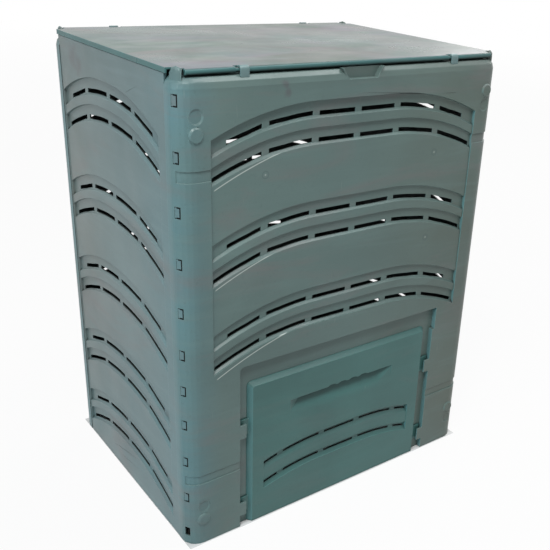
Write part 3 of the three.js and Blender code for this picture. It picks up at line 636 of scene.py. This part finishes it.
def smooth_group(name, smooth_below, arch=None, eared=False):
    """A modifier that joins the faces, rounds what was faceted and shades soft edges smoothly."""
    group = bpy.data.node_groups.new(name, "GeometryNodeTree")
    for way in ("INPUT", "OUTPUT"):
        group.interface.new_socket("Geometry", in_out=way, socket_type="NodeSocketGeometry")
    n = Nodes(group)
    start, end = n.add("NodeGroupInput"), n.add("NodeGroupOutput")
    merge = n.add("GeometryNodeMergeByDistance")
    merge.inputs["Distance"].default_value = JOIN_WITHIN
    n.link(start.outputs["Geometry"], merge.inputs["Geometry"])
    shape = merge.outputs["Geometry"]
    if arch:
        shape = bent(n, shape, arch, eared)
    angle = n.add("GeometryNodeInputMeshEdgeAngle")
    gentle = n.add("FunctionNodeCompare", data_type="FLOAT", operation="LESS_THAN")
    gentle.inputs["B"].default_value = smooth_below
    n.link(angle.outputs["Unsigned Angle"], gentle.inputs["A"])
    faces = n.add("GeometryNodeSetShadeSmooth", domain="FACE")
    edges = n.add("GeometryNodeSetShadeSmooth", domain="EDGE")
    n.link(shape, faces.inputs["Geometry"])
    n.link(faces.outputs["Geometry"], edges.inputs["Geometry"])
    n.link(gentle.outputs["Result"], edges.inputs["Shade Smooth"])
    n.link(edges.outputs["Geometry"], end.inputs["Geometry"])
    return group


def finish_node(obj, material, group):
    """Gives one of the part's nodes its material and the modifiers that finish its mesh."""
    if not obj.material_slots:
        obj.data.materials.append(material)
    for slot in obj.material_slots:
        slot.material = material
    smooth = obj.modifiers.new("smooth_by_angle", "NODES")
    smooth.node_group = group
    weigh = obj.modifiers.new("weighted_normals", "WEIGHTED_NORMAL")
    weigh.mode = "FACE_AREA"
    weigh.keep_sharp = True
    weigh.weight = NORMAL_WEIGHT


def gap_shadow_strips(name, side_x, side_y):
    """Dark C-shaped strips of painted shadow in the gaps round the barbs in the snap windows of one rounded
    corner.
    """
    turn = math.radians(WINDOW_TURN)
    out = Vector((side_x * math.cos(turn), side_y * math.sin(turn), 0.0))
    along = Vector((-side_x * math.sin(turn), side_y * math.cos(turn), 0.0))
    centre = Vector((side_x * CORNER_X, side_y * CORNER_Y, 0.0))
    wide, high = WINDOW_SIZE[0] / 2, WINDOW_SIZE[1] / 2
    mouth, barb_wide, barb_high = -wide / 3, wide - GAP_WIDTH, high - GAP_WIDTH
    outline = (
        (mouth, -high), (wide, -high), (wide, high), (mouth, high),
        (mouth, barb_high), (barb_wide, barb_high), (barb_wide, -barb_high), (mouth, -barb_high),
    )
    build = bmesh.new()
    for share in WINDOW_SHARES:
        rings = []
        for depth in GAP_DEPTHS:
            places = [
                centre + out * depth + along * a + Vector((0.0, 0.0, share * BIN_HEIGHT + z))
                for a, z in outline
            ]
            rings.append([build.verts.new(place) for place in places])
        inner, outer = rings
        build.faces.new(outer)
        build.faces.new(list(reversed(inner)))
        for i in range(len(outline)):
            j = (i + 1) % len(outline)
            build.faces.new((inner[i], inner[j], outer[j], outer[i]))
    bmesh.ops.recalc_face_normals(build, faces=build.faces)
    mesh = bpy.data.meshes.new(name)
    build.to_mesh(mesh)
    build.free()
    lines = bpy.data.objects.new(name, mesh)
    bpy.context.scene.collection.objects.link(lines)
    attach(lines, "bin")
    return lines


def make_camera():
    """A camera with the photograph's place, aim, roll, focal length and off-centre frame."""
    yaw, pitch, roll = CAMERA_YAW, CAMERA_PITCH, CAMERA_ROLL
    ahead = Vector(
        (math.sin(yaw) * math.cos(pitch), math.cos(yaw) * math.cos(pitch), -math.sin(pitch))
    )
    level = Vector((math.cos(yaw), -math.sin(yaw), 0.0))
    up = level.cross(ahead)
    right = level * math.cos(roll) + up * math.sin(roll)
    up = up * math.cos(roll) - level * math.sin(roll)
    data = bpy.data.cameras.new("camera")
    camera = bpy.data.objects.new("camera", data)
    bpy.context.scene.collection.objects.link(camera)
    turn = Matrix((right, up, -ahead)).transposed().to_4x4()
    camera.matrix_world = Matrix.Translation(CAMERA_AT) @ turn
    data.sensor_width = SENSOR_MM
    data.lens = SENSOR_MM * FOCAL_PX / IMAGE_SIDE
    data.shift_x = (IMAGE_SIDE / 2 - CENTRE_PX[0]) / IMAGE_SIDE
    data.shift_y = (CENTRE_PX[1] - IMAGE_SIDE / 2) / IMAGE_SIDE
    bpy.context.scene.camera = camera


def make_floor():
    """A matt pale floor, seen nearly white outside the bin's own box, and white far off."""
    mesh = bpy.data.meshes.new("floor")
    signs = ((-1, -1), (1, -1), (1, 1), (-1, 1))
    corners = [(x * FLOOR_REACH, y * FLOOR_REACH, 0.0) for x, y in signs]
    mesh.from_pydata(corners, [], [(0, 1, 2, 3)])
    floor = bpy.data.objects.new("floor", mesh)
    floor.location.z = -FLOOR_DROP
    bpy.context.scene.collection.objects.link(floor)
    material = bpy.data.materials.new("floor_white")
    n = blank_nodes(material)
    out = n.add("ShaderNodeOutputMaterial")
    matt = n.add("ShaderNodeBsdfDiffuse")
    matt.inputs["Color"].default_value = FLOOR_GREY
    glow = n.add("ShaderNodeEmission")
    glow.inputs["Color"].default_value = WHITE
    at = n.add("ShaderNodeNewGeometry").outputs["Position"]
    axes = n.axes(at)
    outside = n.math("MAXIMUM", *(
        n.math("GREATER_THAN", n.size(axes[axis]), reach)
        for axis, reach in (("X", cad_high[0]), ("Y", cad_high[1]))
    ))
    away = n.add("ShaderNodeVectorMath", operation="LENGTH")
    n.link(at, away.inputs[0])
    share = n.ramp(away.outputs["Value"], *FLOOR_FADE, *FLOOR_SHARES)
    share = n.product(n.rays("Camera", "Glossy"), outside, share)
    mixed = n.blend(share, matt.outputs["BSDF"], glow.outputs["Emission"])
    n.link(mixed, out.inputs["Surface"])
    mesh.materials.append(material)


def make_world():
    """Dim light from all round, which is seen as plain white."""
    world = bpy.data.worlds.new("studio")
    bpy.context.scene.world = world
    n = blank_nodes(world)
    out = n.add("ShaderNodeOutputWorld")
    light, white = n.add("ShaderNodeBackground"), n.add("ShaderNodeBackground")
    light.inputs["Color"].default_value = SKY_COLOUR
    light.inputs["Strength"].default_value = SKY_STRENGTH
    white.inputs["Color"].default_value = WHITE
    white.inputs["Strength"].default_value = 1.0
    seen = n.rays("Camera", "Glossy", "Transmission")
    mixed = n.blend(seen, light.outputs["Background"], white.outputs["Background"])
    n.link(mixed, out.inputs["Surface"])


def make_lamp(name, place, aim, size, power, colour):
    """A rectangular area lamp at a place, turned towards its aim."""
    data = bpy.data.lights.new(name, "AREA")
    data.shape = "RECTANGLE"
    data.size, data.size_y = size
    data.energy = power
    data.color = colour
    lamp = bpy.data.objects.new(name, data)
    bpy.context.scene.collection.objects.link(lamp)
    lamp.location = place
    lamp.rotation_mode = "QUATERNION"
    lamp.rotation_quaternion = (Vector(aim) - Vector(place)).to_track_quat("-Z", "Y")


make_camera()
make_world()
make_floor()
for lamp_values in LAMPS:
    make_lamp(*lamp_values)

# Each drift is an axis, where it sets in and where it is full, its tint and its most share
# The front's blue drift is painted bluish light on its corners, and its rim drift is painted shade
panel = plastic(
    "panel_plastic", PANEL, rough=0.40, inner="Y",
    sunk=Sunk(limit=0.2578, across="X", reach=0.2985, low=0.372),
    drift=(
        ("X", 0.0, 0.33, BROWNED, 0.7),
        ("X", -0.28, -0.355, PAINTED_BLUE_LIGHT, 0.9),
        ("Z", 0.862, 0.884, PAINTED_RIM_SHADE, 0.7),
    ),
    marks=FRONT_MARKS, smudges=FRONT_SMUDGES, highlight_bows=FRONT_HIGHLIGHT_BOWS,
)
# The side's blue drifts are painted bluish light near the front corner and towards the bottom, its shaded
# drift painted shade at the top
side = plastic(
    "side_plastic", SIDE, rough=0.40, inner="X",
    sunk=Sunk(limit=0.3481, across="Y", reach=0.215, low=0.02),
    drift=(
        ("Y", -0.02, 0.26, DUSTED, 0.75),
        ("Y", -0.08, -0.265, PAINTED_BLUE_LIGHT, 0.8),
        ("Z", 0.45, 0.0, PAINTED_BLUE_LIGHT, 0.6),
        ("Z", 0.62, 0.88, SHADED, 0.7),
    ),
    smudges=SIDE_SMUDGES,
)
# The lid's green and peach drifts are painted reflections
lid = plastic(
    "lid_plastic", LID, rough=0.30, inner="Z",
    drift=(
        ("X", -0.05, -0.34, GREEN_REFLECTION, 0.55),
        ("X", 0.0, 0.32, PEACH_REFLECTION, 0.8),
    ),
    ripple=0.35, grain=0.0, spots=0.0, scratched=0.02, shine=0.15,
)
hatch = plastic(
    "hatch_plastic", HATCH, rough=0.38, inner="Y",
    sunk=Sunk(limit=0.2592, across="X", reach=0.2, low=0.03, high=0.165), smears=0.15,
)
hook = plastic("hook_plastic", HOOK, rough=0.38, inner="Y")

front_arch = Arch("X", level=0.085, reach=0.298, radius=0.490, low=0.3655)
back_arch = front_arch._replace(facets=2)
left_arch = Arch("Y", level=0.012, reach=0.208, radius=0.410, middle=0.012)
right_arch = left_arch._replace(middle=-0.012)
hatch_arch = Arch("X", level=0.050, reach=0.190, radius=0.480, low=0.02, high=0.175)
plain = smooth_group("smooth_plain", SMOOTH_PANEL)
looks = {
    "front_panel": (panel, smooth_group("smooth_front", SMOOTH_PANEL, front_arch, eared=True)),
    "back_panel": (panel, smooth_group("smooth_back", SMOOTH_PANEL, back_arch, eared=True)),
    "left_panel": (side, smooth_group("smooth_left", SMOOTH_PANEL, left_arch)),
    "right_panel": (side, smooth_group("smooth_right", SMOOTH_PANEL, right_arch)),
    "lid_panel": (lid, smooth_group("smooth_lid", SMOOTH_LID)),
    "door_panel": (hatch, smooth_group("smooth_hatch", SMOOTH_PANEL, hatch_arch)),
    "lid_latch_left": (hook, plain),
    "lid_latch_right": (hook, plain),
    "hinge_hook_left": (hook, plain),
    "hinge_hook_right": (hook, plain),
}
for name, (material, group) in looks.items():
    finish_node(nodes[name], material, group)

# Strips of painted shadow in the snap windows' gaps
gap_shadow = gap_shadow_material()
for side_y, end_name in ((-1, "front"), (1, "back")):
    for side_x, side_name in ((-1, "left"), (1, "right")):
        gaps = gap_shadow_strips(f"snap_gap_shadows_{end_name}_{side_name}", side_x, side_y)
        gaps.data.materials.append(gap_shadow)

settings = bpy.context.scene.view_settings
settings.view_transform = "Standard"

bpy.context.view_layer.update()
